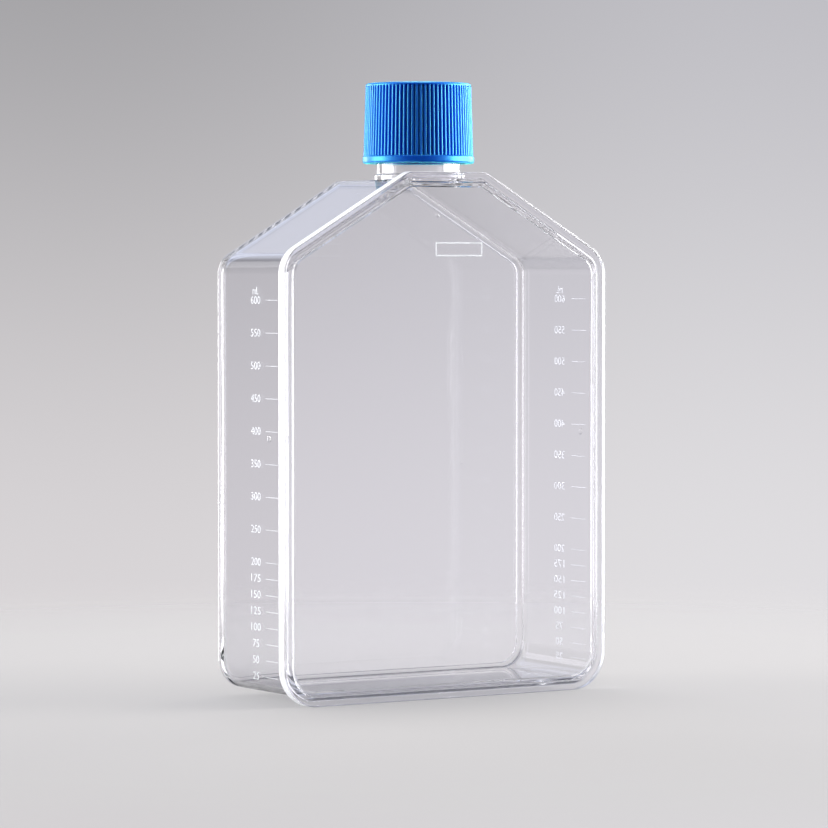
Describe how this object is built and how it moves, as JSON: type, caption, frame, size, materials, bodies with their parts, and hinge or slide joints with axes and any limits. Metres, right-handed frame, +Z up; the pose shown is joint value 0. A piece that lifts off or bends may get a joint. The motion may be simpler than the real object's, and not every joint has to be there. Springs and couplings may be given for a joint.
{
  "type": "cell culture flask",
  "caption": "Clear rectangular tissue culture flask with sloping shoulders, a short round neck, side graduations and a blue ribbed vented screw cap.",
  "frame": {"origin": "middle of the standing footprint, at the height of the surface it stands on", "axes": "+Z up along the neck, -Y towards the welded front panel, +X to the right seen from that panel"},
  "size_m": [0.12, 0.047, 0.1945],
  "materials": {
    "clear_polystyrene": "clear, polished",
    "blue_polyethylene": "satin, moulded",
    "liner_polyethylene": "translucent, matt",
    "membrane": "matt, fine porous",
    "white_ink": "screen-printed ink, matt"
  },
  "bodies": {
    "flask": {"flask_body": "clear_polystyrene", "front_panel": "clear_polystyrene"},
    "cap_insert": {"cap_liner": "liner_polyethylene", "vent_membrane": "membrane"},
    "cap": {"cap_shell": "blue_polyethylene"}
  },
  "joints": [
    {"name": "cap_rise", "type": "slide", "parent": "flask", "child": "cap_insert", "axis": [0, 0, 1], "range_m": [0, 0.024]},
    {"name": "cap_turn", "type": "hinge", "parent": "cap_insert", "child": "cap", "pos_m": [0, -0.0054, 0.18], "axis": [0, 0, 1], "range_deg": [0, 2160]}
  ],
  "couplings": [
    {"joint": "cap_rise", "follows": "cap_turn", "m_per_rad": 0.00063662}
  ]
}
